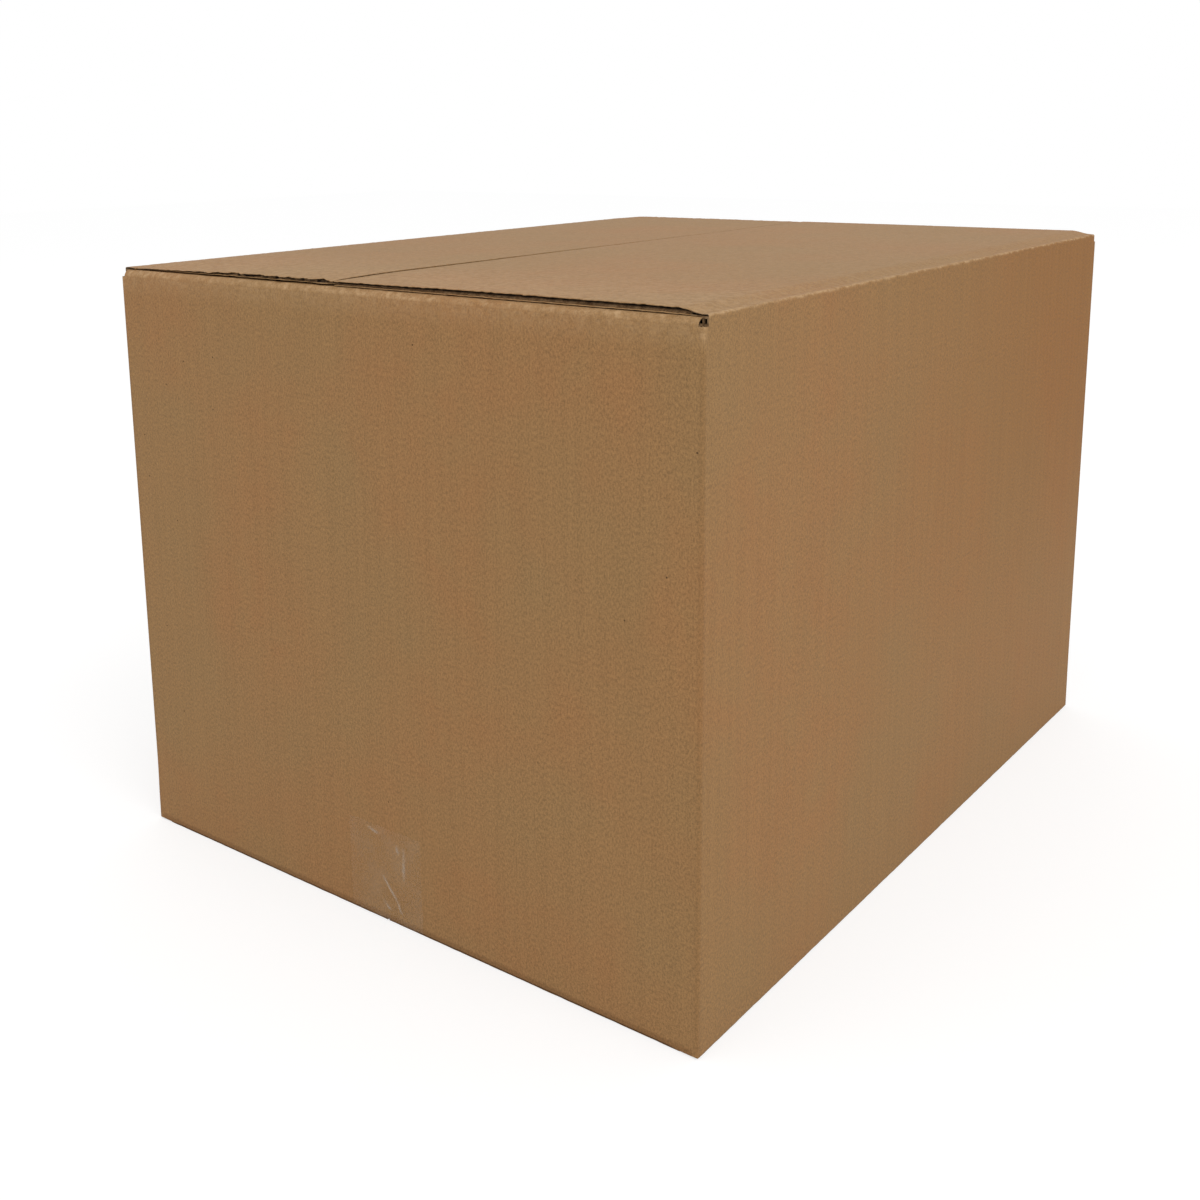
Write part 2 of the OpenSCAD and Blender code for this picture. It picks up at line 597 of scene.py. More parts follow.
@dataclass(frozen=True)
class KraftLiner:
    """The brown paper on both faces of the board, with its mottle, fibres, specks and worn folds, and
    painted shade and sheen.
    """

    name: str = "Kraft liner"
    base: tuple[float, float, float, float] = linear(147, 112, 71)
    red: tuple[float, float, float, float] = linear(151, 109, 68)
    olive: tuple[float, float, float, float] = linear(144, 112, 72)
    # Pale colour of worn paper, also used as a painted sheen on the top flaps.
    pale_wear_and_sheen: tuple[float, float, float, float] = linear(186, 152, 112)
    # Painted shade: the darker, warmer brown that the shade tint mixes in.
    shade_tint_brown: tuple[float, float, float, float] = linear(136, 88, 34)
    # Painted shade: the dark brown that negative marks mix in, along the creases and the bottom folds.
    painted_shade_brown: tuple[float, float, float, float] = linear(92, 54, 20)
    dark: tuple[float, float, float, float] = linear(70, 45, 24)
    pale: tuple[float, float, float, float] = linear(205, 178, 140)
    drift_scale: float = 9.0
    patch_scale: float = 34.0
    mottle_scale: float = 1100.0
    grain_scale: float = 2100.0
    fibre_scale: float = 2200.0
    streak_scale: float = 260.0
    rub_scale: float = 330.0
    roughness: float = 0.68
    specular: float = 0.2

    def make(self) -> bpy.types.Material:
        """Builds the material.

        Returns:
            The finished material.
        """
        n = Surface(self.name)
        place = n.add("TexCoord").outputs["Object"]
        board = n.add("UVMap", uv_map="Board").outputs["UV"]
        wear_painted_light_and_wrinkles = n.attribute("wear_painted_light_and_wrinkles")
        mottle = n.noise(n.stretched(board, (1, 0.6, 1)), self.mottle_scale, 2, 0.6)

        # Painted shade: the shade tint darkens the front panel towards its upper right.
        colour = n.blend(n.attribute("shade_tint"), self._brown(n, place), self.shade_tint_brown)
        # Painted shade: negative marks darken the upright creases and the bottom folds.
        colour = n.blend(n.math("MULTIPLY", wear_painted_light_and_wrinkles, -1.0, clamp=True), colour, self.painted_shade_brown)
        colour = n.blend(1.0, colour, self._grey(n, self._tone(n, place, board, mottle)), "MULTIPLY")

        colour = n.blend(self._specks(n, place, 95, 0.05, 0.975), colour, self.dark)
        tall = n.stretched(place, (1, 1, 0.5))
        colour = n.blend(self._specks(n, tall, 70, 0.035, 0.98), colour, self.pale)

        # Paler where worn; on the top flaps the same pale colour is also a painted sheen.
        rub = n.noise(place, self.rub_scale, 4, 0.75)
        scuff_and_sheen = n.math("MULTIPLY", wear_painted_light_and_wrinkles, n.ramp(rub, 0.35, 0.68, 0.15, 1.0), clamp=True)
        n.link(n.blend(scuff_and_sheen, colour, self.pale_wear_and_sheen), n.shader.inputs["Base Color"])

        rough = n.ramp(mottle, 0.2, 0.8, self.roughness - 0.06, self.roughness + 0.1)
        n.link(rough, n.shader.inputs["Roughness"])
        n.shader.inputs["Specular IOR Level"].default_value = self.specular
        n.bump(self._height(n, place, board, mottle), 0.6)
        return n.material

    def _brown(self, n: Surface, place: object) -> bpy.types.NodeSocket:
        """Mixes the paper's three browns in broad drifts and smaller patches.

        Args:
            n: The material that is being wired.
            place: Object coordinates.
        Returns:
            The mixed colour.
        """
        drift = n.noise(place, self.drift_scale, 3)
        patch = n.noise(place, self.patch_scale, 4, 0.6)
        colour = n.blend(n.ramp(drift, 0.38, 0.62), self.olive, self.red)
        return n.blend(n.ramp(patch, 0.3, 0.7, 0.2, 0.8), colour, self.base)

    def _tone(self, n: Surface, place: object, board: object, mottle: object) -> bpy.types.NodeSocket:
        """Adds the mottle, the fine grain and the long streaks to one brightness of about 1.

        Args:
            n: The material that is being wired.
            place: Object coordinates.
            board: Coordinates across and along the flutes.
            mottle: The paper's mottle.
        Returns:
            The brightness that the colour is multiplied by.
        """
        grain = n.noise(place, self.grain_scale, 2, 0.5)
        streak = n.noise(n.stretched(board, (1, 0.03, 1)), self.streak_scale, 2)
        tone = n.math("ADD", n.ramp(mottle, 0.25, 0.75, 0.8, 1.2), n.ramp(grain, 0.2, 0.8, -0.17, 0.17))
        return n.math("ADD", tone, n.ramp(streak, 0.3, 0.7, -0.025, 0.025))

    def _grey(self, n: Surface, value: bpy.types.NodeSocket) -> bpy.types.NodeSocket:
        """Turns a value into a grey colour."""
        node = n.add("CombineColor")
        for socket in node.inputs:
            n.link(value, socket)
        return node.outputs[0]

    def _specks(
        self, n: Surface, place: object, scale: float, size: float, rarity: float
    ) -> bpy.types.NodeSocket:
        """Small spots in a few of the cells of a cell pattern.

        Args:
            n: The material that is being wired.
            place: The coordinates that the pattern reads.
            scale: Cells for each metre.
            size: Size of a spot as a share of a cell.
            rarity: Share of the cells that have no spot.
        Returns:
            1 within a spot and 0 outside.
        """
        cells = n.add("TexVoronoi", feature="F1")
        n.set(cells.inputs["Vector"], place)
        cells.inputs["Scale"].default_value = scale
        chosen = n.add("SeparateColor")
        n.link(cells.outputs["Color"], chosen.inputs[0])
        rare = n.math("GREATER_THAN", chosen.outputs[0], rarity)
        spot = n.ramp(cells.outputs["Distance"], size * 0.5, size, 1.0, 0.0)
        return n.math("MULTIPLY", spot, rare)

    def _height(self, n: Surface, place: object, board: object, mottle: object) -> bpy.types.NodeSocket:
        """Adds up the washboard of the flutes, the fibres and the mottle.

        Args:
            n: The material that is being wired.
            place: Object coordinates.
            board: Coordinates across and along the flutes.
            mottle: The paper's mottle, which is a little raised.
        Returns:
            The height in metres.
        """
        across = n.add("SeparateXYZ")
        n.link(board, across.inputs[0])
        turn = n.math("MULTIPLY", across.outputs[0], 2 * math.pi / Board.flute_pitch)
        washboard = n.math("MULTIPLY", n.math("COSINE", turn), 0.03 * MM)
        fibre = n.math("MULTIPLY", n.noise(place, self.fibre_scale, 3, 0.6), 0.025 * MM)
        height = n.math("ADD", washboard, fibre)
        return n.math("ADD", height, n.math("MULTIPLY", mottle, 0.04 * MM))


@dataclass(frozen=True)
class FlutedMedium:
    """The rougher, darker paper of the flutes and of cut edges."""

    name: str = "Fluted medium"
    light: tuple[float, float, float, float] = linear(164, 134, 98)
    dark: tuple[float, float, float, float] = linear(116, 86, 56)
    deep: tuple[float, float, float, float] = linear(26, 14, 5)
    patch_scale: float = 380.0
    fibre_scale: float = 1500.0

    def make(self) -> bpy.types.Material:
        """Builds the material.

        Returns:
            The finished material.
        """
        n = Surface(self.name)
        place = n.add("TexCoord").outputs["Object"]
        patch = n.noise(place, self.patch_scale, 4, 0.7)
        colour = n.blend(n.ramp(patch, 0.3, 0.7), self.dark, self.light)
        # Painted shade: the shade marks darken the medium inside open flutes, holes and torn hollows.
        n.link(n.blend(n.attribute("shade"), colour, self.deep), n.shader.inputs["Base Color"])
        n.shader.inputs["Roughness"].default_value = 0.85
        n.shader.inputs["Specular IOR Level"].default_value = 0.2
        fibre = n.math("MULTIPLY", n.noise(place, self.fibre_scale, 3, 0.6), 0.06 * MM)
        n.bump(fibre, 0.7)
        return n.material


@dataclass(frozen=True)
class ClearTape:
    """Clear packing tape, a little hazy where it has air under it."""

    name: str = "Clear tape"
    film: tuple[float, float, float, float] = linear(214, 205, 190)
    haze_scale: float = 60.0
    fold_scale: float = 260.0

    def make(self) -> bpy.types.Material:
        """Builds the material.

        Returns:
            The finished material.
        """
        n = Surface(self.name)
        place = n.add("TexCoord").outputs["Object"]
        haze = n.ramp(n.noise(place, self.haze_scale, 3, 0.6), 0.4, 0.75, 0.01, 0.035)
        milky = n.ramp(n.noise(place, self.fold_scale, 3, 0.6), 0.3, 0.7, 0.06, 0.24)
        fold = n.math("MULTIPLY", n.attribute("wear_painted_light_and_wrinkles"), milky)
        n.link(n.math("ADD", haze, fold), n.shader.inputs["Alpha"])
        n.shader.inputs["Base Color"].default_value = self.film
        n.shader.inputs["Roughness"].default_value = 0.22
        n.shader.inputs["IOR"].default_value = 1.46
        return n.material


class Finishes:
    """The materials of all pieces, made once."""

    def __init__(self) -> None:
        """Makes each finish."""
        self.kraft = KraftLiner().make()
        self.medium = FlutedMedium().make()
        self.tape = ClearTape().make()

    def dress(self, piece: bpy.types.Object, *materials: bpy.types.Material) -> None:
        """Gives a piece its materials, in the order of its slots, and leaves each face in its slot."""
        slots = [polygon.material_index for polygon in piece.data.polygons]
        piece.data.materials.clear()
        for material in materials:
            piece.data.materials.append(material)
        piece.data.polygons.foreach_set("material_index", slots)


@dataclass
class PanelSwell:
    """The slight swell and waviness of the upright panels, none at their edges."""

    sizes: CartonSizes
    swell: float = 0.5 * MM
    waves: float = 0.35 * MM

    def at(self, place: Vector, side: Side) -> float:
        """How far a panel stands out at a place.

        Args:
            place: A point on the panel.
            side: The panel's side of the carton.
        Returns:
            The distance outwards.
        """
        s = self.sizes
        along = place.x / s.half_length if side in (Side.FRONT, Side.BACK) else place.y / s.half_width
        up = (place.z - s.ring_low) / (s.ring_high - s.ring_low) * 2 - 1
        fade = max(0.0, 1 - along**4) * max(0.0, 1 - up**4)
        return fade * (self.swell + self.waves * ripple(place, 90 * MM, 3.0))


@dataclass
class Walls:
    """The four upright panels with their creases, and the glued tab behind the cut edge."""

    sizes: CartonSizes
    finishes: Finishes
    swell: PanelSwell
    rows: int = 30
    panel_steps: int = 26
    crease_steps: int = 10
    crease_radius: float = 1.4 * MM
    foot: float = 0.75 * MM
    foot_reach: float = 30 * MM
    foot_radius_share: float = 0.25
    flute_hole: float = 9 * MM
    flute_wall: float = 0.4 * MM
    cut_gap: float = 0.3 * MM
    tab_width: float = 35 * MM
    tab_relief: float = 3 * MM
    tab_taper: float = 9 * MM
    worn_width: float = 3.5 * MM
    worn_corner: float = 12 * MM
    worn_fold: float = 3 * MM

    def build(self) -> bpy.types.Object:
        """Models the walls.

        Returns:
            The piece, which replaces the carton's node.
        """
        s = self.sizes
        piece = self._walk_round()
        reshape(piece, self._swollen)
        face_along(piece, Vector((0, -1, 0)))
        self.finishes.dress(piece, self.finishes.kraft, self.finishes.medium)
        finish_with(
            piece, "SOLIDIFY", thickness=s.board.thickness, offset=-1,
            use_even_offset=True, material_offset_rim=1,
        )
        reshape(piece, self._pressed)
        self._open_flutes(piece)
        face_outwards(piece)
        smooth(piece)
        lay_grain(piece, lambda p, normal: (p.y if abs(normal.x) > abs(normal.y) else p.x, p.z))
        mark(piece, "wear_painted_light_and_wrinkles", self._wear_and_painted_light)
        mark(piece, "shade_tint", ShadeTint(s).at)
        mark(piece, "shade", lambda p: float(abs(s.ring_high - self.flute_hole - p.z) < NEAR))
        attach(piece, "box")
        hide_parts("carton")
        return piece

    def _walk_round(self) -> bpy.types.Object:
        """Extrudes one upright edge round the carton: straight along each panel, and round each crease.

        Returns:
            The outer face of the panels, open at the top and the bottom.
        """
        s = self.sizes
        x, y, r = s.half_length, s.half_width, s.board.fold_radius
        first = (y - r) * 2 / self.panel_steps
        start = y - r - self.cut_gap
        bpy.ops.mesh.primitive_grid_add(
            x_subdivisions=1, y_subdivisions=self.rows, size=1, rotation=(math.pi / 2, 0, math.pi / 2),
            location=(x, start - first / 2, (s.ring_low + s.ring_high) / 2),
        )
        piece = bpy.context.object
        piece.name = "walls"
        piece.data.name = "walls"
        piece.scale = (first, s.ring_high - s.ring_low, 1)
        settle(piece)
        with editing(piece) as mesh:
            pick_edges(mesh, lambda p: abs(p.y - (start - first)) < NEAR)
            extrude((0, -(start - first + y - r), 0), self.panel_steps)
            self._crease((x - r, -y + r))
            extrude((-2 * (x - r), 0, 0), self.panel_steps)
            self._crease((-x + r, -y + r))
            extrude((0, 2 * (y - r), 0), self.panel_steps)
            self._crease((-x + r, y - r))
            turn_in = x - s.board.thickness - r
            extrude((turn_in + x - r, 0, 0), self.panel_steps)
            self._crease((turn_in, y - r))
            extrude((0, -self.tab_width, 0), 5)
        self._shorten_tab(piece)
        return piece

    def _crease(self, centre: tuple[float, float]) -> None:
        """Turns the selected edge a quarter about an upright line, to the next panel."""
        bpy.ops.mesh.spin(
            steps=self.crease_steps, angle=math.pi / 2, center=(*centre, 0), axis=(0, 0, 1)
        )

    def _shorten_tab(self, piece: bpy.types.Object) -> None:
        """Draws in the ends of the glued tab, more at its free edge."""
        s = self.sizes
        middle = (s.ring_low + s.ring_high) / 2
        half = middle - s.ring_low
        tab_x = s.half_length - s.board.thickness
        start = s.half_width - s.board.fold_radius

        def shorter(p: Vector) -> Vector:
            """Scales a column of the tab towards mid height."""
            if abs(p.x - tab_x) > 0.1 * MM or p.y > start - 0.1 * MM:
                return p
            cut = self.tab_relief + self.tab_taper * (start - p.y) / self.tab_width
            return Vector((p.x, p.y, middle + (p.z - middle) * (half - cut) / half))

        reshape(piece, shorter)

    def _swollen(self, p: Vector) -> Vector:
        """Moves a point of the outer face out by the panel's swell."""
        s = self.sizes
        if abs(p.y + s.half_width) < NEAR:
            return p + Vector((0, -self.swell.at(p, Side.FRONT), 0))
        if abs(p.y - s.half_width) < NEAR:
            return p + Vector((0, self.swell.at(p, Side.BACK), 0))
        if abs(p.x + s.half_length) < NEAR:
            return p + Vector((-self.swell.at(p, Side.LEFT), 0, 0))
        if abs(p.x - s.half_length) < NEAR:
            return p + Vector((self.swell.at(p, Side.RIGHT), 0, 0))
        return p

    def _corners(self) -> list[tuple[Vector, Vector]]:
        """Lists the centre of each upright crease, and the signs of its outward direction."""
        s = self.sizes
        x, y = s.half_length - s.board.fold_radius, s.half_width - s.board.fold_radius
        signs = [Vector((-1, -1)), Vector((1, -1)), Vector((-1, 1)), Vector((1, 1))]
        centres = [Vector((x * sign.x, y * sign.y)) for sign in signs]
        centres[3].x -= s.board.thickness
        return list(zip(centres, signs))

    def _pressed(self, p: Vector) -> Vector:
        """Presses a crease to a sharper corner, and its lower end down between the bottom folds."""
        s = self.sizes
        outer_face = s.board.fold_radius
        for centre, sign in self._corners():
            out = Vector(((p.x - centre.x) * sign.x, (p.y - centre.y) * sign.y))
            if min(out) < NEAR or out.length > outer_face + ON_FACE:
                continue
            moved = p.copy()
            if abs(p.z - s.ring_low) < NEAR:
                moved.z = self.foot
            if out.length > outer_face - ON_FACE:
                way = out.normalized()
                at_foot = 1 - soft_step((p.z - s.ring_low) / self.foot_reach)
                radius = self.crease_radius * (1 - (1 - self.foot_radius_share) * at_foot)
                reach = s.board.corner_reach(way, radius)
                moved.x, moved.y = centre.x + way.x * reach * sign.x, centre.y + way.y * reach * sign.y
            return moved
        return p

    def _open_flutes(self, piece: bpy.types.Object) -> None:
        """Sinks two open flutes into the top cut edge of each upright crease."""
        for centre, sign in self._corners():
            for near_y in (False, True):
                with editing(piece, "FACE") as mesh:
                    pick_faces(mesh, lambda f: self._in_half(f, centre, sign, near_y))
                    bpy.ops.mesh.inset(thickness=self.flute_wall, use_even_offset=True)
                    extrude((0, 0, -self.flute_hole))

    def _in_half(self, face: bmesh.types.BMFace, centre: Vector, sign: Vector, near_y: bool) -> bool:
        """Tells whether a face is top cut edge in one half of a crease.

        Args:
            face: The face that is looked at.
            centre: Middle of the crease's bend.
            sign: Signs of the crease's outward direction.
            near_y: Takes the half beside the long panel instead of the half beside the end panel.
        Returns:
            Whether the face belongs to that half.
        """
        c = face.calc_center_median()
        out = Vector(((c.x - centre.x) * sign.x, (c.y - centre.y) * sign.y))
        inside = min(out) > 0 and out.length < self.sizes.board.fold_radius * 1.5
        at_top = abs(c.z - self.sizes.ring_high) < NEAR
        return inside and at_top and (out.y > out.x) == near_y

    def _wear_and_painted_light(self, p: Vector) -> float:
        """Wear along the tops of the upright creases and under the end folds; lower down, the creases get a
        painted shade.
        """
        s = self.sizes
        from_corner = max(s.half_length - abs(p.x), s.half_width - abs(p.y))
        upright = 1 - soft_step(from_corner / self.worn_width)
        end_panel = float(s.half_length - abs(p.x) < s.half_width - abs(p.y))
        under_fold = end_panel * (1 - soft_step((s.ring_high - p.z) / self.worn_fold))
        at_corner = 1 - soft_step((s.ring_high - p.z) / self.worn_corner)
        # Painted shade along the upright creases, below their worn tops.
        darker = 0.15
        return 0.35 * under_fold + upright * (0.8 * at_corner - darker)


@dataclass
class FlutedBoard:
    """A level stretch of board with two liners and the fluted medium; its flutes run along Y."""

    board: Board
    finishes: Finishes
    x_low: float
    x_high: float
    y_low: float
    y_high: float
    columns: int
    rows: int
    crumple: float = 0.1 * MM
    coarse_rows: int = 8
    end_density: float = 0.8
    seam_shadow: float = 4 * MM
    mouth: float = 1.1 * MM
    mouth_fade: float = 1.2 * MM
    liner_shadow: float = 2.1 * MM
    shadow_fade: float = 0.7 * MM
    torn_reach: float = 4.5 * MM
    torn_depth: float = 1.6 * MM

    def build(self, name: str) -> bpy.types.Object:
        """Models the stretch with its top at z = 0.

        Args:
            name: Name of the piece.
        Returns:
            The liners and the medium in one piece, with the liner's material slot first.
        """
        b = self.board
        flutes = max(3, round((self.x_high - self.x_low) / b.flute_pitch))
        pitch = (self.x_high - self.x_low) / flutes
        parts = [
            self._liner("upper", 0.0),
            self._liner("lower", -b.thickness + b.liner),
            self._medium("inside", self.x_low + pitch, flutes - 2, pitch, self.coarse_rows),
            self._medium("low_end", self.x_low, 1, pitch, self.rows),
            self._medium("high_end", self.x_high - pitch, 1, pitch, self.rows),
        ]
        for part in parts[:2]:
            mark(part, "shade", lambda p: 0.0)
        mark(parts[2], "shade", lambda p: 0.7 * soft_step((self.y_high - p.y) / self.seam_shadow))
        for end, part in ((self.x_low, parts[3]), (self.x_high, parts[4])):
            mark(part, "shade", lambda p: self._shade(p, end))
            reshape(part, lambda p: self._torn(p, end))
        liners = parts[:2]
        for part in parts:
            for polygon in part.data.polygons:
                polygon.material_index = 0 if part in liners else 1
            self.finishes.dress(part, self.finishes.kraft, self.finishes.medium)
        return join(name, parts)

    def _liner(self, name: str, top: float) -> bpy.types.Object:
        """Adds one liner.

        Args:
            name: Name of the liner.
            top: Height of its upper face.
        Returns:
            A thin closed slab.
        """
        low = Vector((self.x_low, self.y_low, top))
        high = Vector((self.x_high, self.y_high, top))
        sheet = flat_grid(name, low, high, self.columns, self.rows)
        reshape(sheet, self._denser)
        finish_with(sheet, "SOLIDIFY", thickness=self.board.liner, offset=-1)
        return sheet

    def _denser(self, p: Vector) -> Vector:
        """Moves the columns of a liner towards both cut ends, where the detail is."""
        length = self.x_high - self.x_low
        turn = 2 * math.pi * (p.x - self.x_low) / length
        share = (turn - self.end_density * math.sin(turn)) / (2 * math.pi)
        return Vector((self.x_low + length * share, p.y, p.z))

    def _shade(self, p: Vector, end: float) -> float:
        """How dark the medium is in an open flute: more so under the upper liner and in torn hollows."""
        inside = soft_step((abs(p.x - end) - self.mouth) / self.mouth_fade)
        deep = max(inside, soft_step((p.z + self.liner_shadow) / self.shadow_fade))
        hollow = self.crumple / (0.5 * MM) * (0.3 + 1.6 * ripple(p, 3.0 * MM, 34.0))
        return min(1.0, max(0.0, 0.95 * deep + hollow))

    def _torn(self, p: Vector, end: float) -> Vector:
        """Draws the flute that lies open at an end in under the liners, unevenly, and crumples it.

        Args:
            p: A point of the flute.
            end: X of the cut end.
        Returns:
            Its place in the torn flute.
        """
        inward = 1 if end < 0 else -1
        share = 1 - soft_step(abs(p.x - end) / self.torn_reach)
        along = Vector((0, p.y, end))
        cut = self.torn_depth
        cut += 0.9 * MM * ripple(along, 7 * MM, 30.0) + 0.6 * MM * ripple(along, 2.5 * MM, 31.0)
        heave = self.crumple * (ripple(along, 9 * MM, 32.0) + 0.7 * ripple(p, 2.4 * MM, 33.0))
        return Vector((p.x + inward * share * cut, p.y, p.z + share * heave))

    def _medium(self, name: str, start: float, count: int, pitch: float, rows: int) -> bpy.types.Object:
        """Adds a stretch of the wave: one flute, repeated.

        Args:
            name: Name of the stretch.
            start: X where its first trough lies.
            count: How many flutes it has.
            pitch: Distance from one flute to the next.
            rows: Faces along the flutes.
        Returns:
            A thin closed wavy slab.
        """
        b = self.board
        middle = -b.thickness / 2
        low = Vector((start, self.y_low, middle))
        high = Vector((start + pitch, self.y_high, middle))
        flute = flat_grid(name, low, high, 8, rows)
        turn = 2 * math.pi / pitch
        reshape(flute, lambda p: Vector((p.x, p.y, middle - b.wave / 2 * math.cos(turn * (p.x - start)))))
        if count > 1:
            finish_with(
                flute, "ARRAY", count=count, use_relative_offset=False, use_constant_offset=True,
                constant_offset_displace=(pitch, 0, 0),
                use_merge_vertices=True, merge_threshold=NEAR,
            )
        finish_with(flute, "SOLIDIFY", thickness=b.medium, offset=0)
        return flute


@dataclass
class FoldedFlap:
    """A flap that is folded over for good: an inner flap or an outer bottom flap."""

    name: str
    side: Side
    level: Level
    sizes: CartonSizes
    finishes: Finishes
    x_low: float
    x_high: float
    depth: float
    outer_height: float
    corner: float = 3.4 * MM
    sink: float = 0.0
    corner_sink: float = 0.0
    flattened: float = 0.0
    ends_out: float = 0.0
    press_reach: float = 14 * MM
    solid: float = 6 * MM
    bend_steps: int = 8
    flap_rows: int = 40
    channel_wall: float = 0.45 * MM
    fray: float = 0.2 * MM

    def build(self) -> bpy.types.Object:
        """Models the fold and the flap on the front top edge, then takes them to their own place.

        Returns:
            The finished piece.
        """
        b = self.sizes.board
        columns = round((self.x_high - self.x_low) / COLUMN)
        near = b.fold_radius + self.solid
        bend = self._bend(4 * columns)
        x_low, x_high = self.x_low - self.ends_out, self.x_high + self.ends_out
        sheet = FlutedBoard(b, self.finishes, x_low, x_high, near, self.depth, columns, self.flap_rows)
        board = sheet.build("board")
        reshape(board, self._frayed)
        if self.level is Level.TOP:
            open_channels(bend, (self.x_low, self.x_high), self.channel_wall, self.solid)
            mark(bend, "shade", lambda p: float(self._from_end(p) > 0.5 * self.solid))
        reshape(bend, self._pressed)
        reshape(bend, self._settled)
        reshape(board, self._settled)
        piece = join(self.name, [bend, board])
        smooth(piece)
        mark(piece, "wear_painted_light_and_wrinkles", self._wear_and_painted_light)
        stand_on(piece, self.side, self.level, self._shift())
        mark(piece, "shade_tint", ShadeTint(self.sizes).at)
        lay_grain(piece, self._grain)
        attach(piece, "box")
        return piece

    def _grain(self, p: Vector, normal: Vector) -> tuple[float, float]:
        """Gives the place on the board: across the flutes, and up the panel and on over the fold."""
        s = self.sizes
        if self.side in (Side.LEFT, Side.RIGHT):
            return p.y, p.z + self.level.value * (s.half_length - abs(p.x))
        return p.x, p.z + self.level.value * (s.half_width - abs(p.y))

    def _from_end(self, p: Vector) -> float:
        """Distance from the nearer end of the fold."""
        return min(p.x - self.x_low, self.x_high - p.x)

    def _shift(self) -> Vector:
        """Where the model's origin, the outer top edge of the fold, goes."""
        s = self.sizes
        out = {
            Side.FRONT: (0, -s.half_width), Side.BACK: (0, s.half_width),
            Side.LEFT: (-s.half_length, 0), Side.RIGHT: (s.half_length, 0),
        }[self.side]
        return Vector((*out, self.outer_height))

    def _bend(self, columns: int) -> bpy.types.Object:
        """Models the crushed board round the fold, from the top of the panel to the start of the flap.

        Args:
            columns: Faces along the fold.
        Returns:
            The closed, folded strip.
        """
        s = self.sizes
        b = s.board
        r = b.fold_radius
        drop = self._drop()
        low = Vector((self.x_low, r, 0))
        high = Vector((self.x_high, r + self.solid, 0))
        strip = flat_grid("bend", low, high, columns, 2)
        with editing(strip) as mesh:
            pick_edges(mesh, lambda p: abs(p.y - r) < NEAR)
            bpy.ops.mesh.spin(steps=self.bend_steps, angle=-math.pi / 2, center=(0, r, -r), axis=(1, 0, 0))
            if drop > r + NEAR:
                extrude((0, 0, r - drop))
        face_along(strip, Vector((0, 0, 1)))
        self.finishes.dress(strip, self.finishes.kraft, self.finishes.medium)
        finish_with(
            strip, "SOLIDIFY", thickness=b.thickness, offset=-1, use_even_offset=True, material_offset_rim=1
        )
        return strip

    def _drop(self) -> float:
        """Height from the outer face of the flap to the end of the panel."""
        s = self.sizes
        return abs(self.outer_height - (s.ring_high if self.level is Level.TOP else s.ring_low))

    def _pressed(self, p: Vector) -> Vector:
        """Presses the outer side of the fold to its corner and dents it a little."""
        b = self.sizes.board
        out = Vector((b.fold_radius - p.y, p.z + b.fold_radius))
        if min(out) < NEAR or abs(out.length - b.fold_radius) > ON_FACE:
            return p
        way = out.normalized()
        dent = 0.5 * MM * ripple(p, 4.5 * MM, 7.0) + 0.4 * MM * ripple(p, 15 * MM, 9.0) - 0.15 * MM
        if self.level is Level.BOTTOM:
            dent = min(0.0, 0.25 * dent)
        reach = b.corner_reach(way, self.corner) + dent * math.sin(math.pi * p.y / b.fold_radius)
        return Vector((p.x, b.fold_radius - way.x * reach, way.y * reach - b.fold_radius))

    def _settled(self, p: Vector) -> Vector:
        """Sinks the fold below its flap, and flattens the ends of a flap that an end panel presses on."""
        r = self.sizes.board.fold_radius
        turned = max(0.0, p.z + r) / max(r - p.y, p.z + r, 0.001 * MM)
        at_corner = self.corner_sink * (1 - soft_step((self._from_end(p) - 7 * MM) / (6 * MM)))
        sunk = (self.sink + at_corner) * turned * (1 - soft_step((p.y - r) / self.press_reach))
        under_end = 1 - soft_step((self._from_end(p) + self.ends_out - 3 * MM) / self.press_reach)
        flat = self.flattened * under_end * soft_step((p.y - r) / self.solid)
        return Vector((p.x, p.y, p.z * (1 - flat) + sunk))

    def _frayed(self, p: Vector) -> Vector:
        """Roughens the flap's cut edges slightly."""
        moved = p.copy()
        if self._from_end(p) + self.ends_out < NEAR:
            moved.x += self.fray * ripple(p, 3 * MM, 1.0)
        if self.depth - p.y < NEAR:
            moved.y += self.fray * ripple(p, 3 * MM, 2.0)
        return moved

    def _wear_and_painted_light(self, p: Vector) -> float:
        """Wear round the fold, in the model's own place on the front top edge; a bottom fold gets a painted
        shade instead.
        """
        if self.level is Level.BOTTOM:
            # Painted shade along the lower side of a bottom fold.
            return -0.35 * soft_step((p.z + 1.1 * MM) / (1.0 * MM))
        patch = 0.65 + 0.5 * ripple(p, 4 * MM, 10.0) + 0.3 * ripple(p, 30 * MM, 11.0)
        over = (1 - soft_step((p.y - 3 * MM) / (4 * MM))) * soft_step((p.z + 4.2 * MM) / (2.4 * MM))
        return patch * over


@dataclass
class Settling:
    """How a closed top flap lies: lifted and crushed at its near end, and bowed along its free edge."""

    lift: float
    bow: float
    bow_reach: float
    crushed: Callable[[float], float]
    waves: float = 0.1 * MM
    end_reach: float = 45 * MM

    def height(self, from_end: float, d: float, depth: float) -> float:
        """Height added at a place on the flap.

        Args:
            from_end: Distance from the flap's near end.
            d: Distance from the crease.
            depth: Depth of the flap.
        Returns:
            The lift there.
        """
        share = d / depth
        near = 1 - soft_step(from_end / self.end_reach)
        swing = (1 - soft_step(from_end / self.bow_reach)) * soft_step((from_end + 6 * MM) / (30 * MM))
        wave = self.waves * noise.noise(Vector((from_end / (70 * MM), share * 3, 4.0)))
        return self.lift * near * soft_step(share * 8) + self.bow * swing * soft_step(share) + \
            wave * soft_step(share * 6)

    def thickness_share(self, from_end: float, d: float) -> float:
        """Share of the board's thickness that is left at a place on the flap."""
        near = 1 - soft_step(from_end / self.end_reach)
        return 1 - near * self.crushed(d)


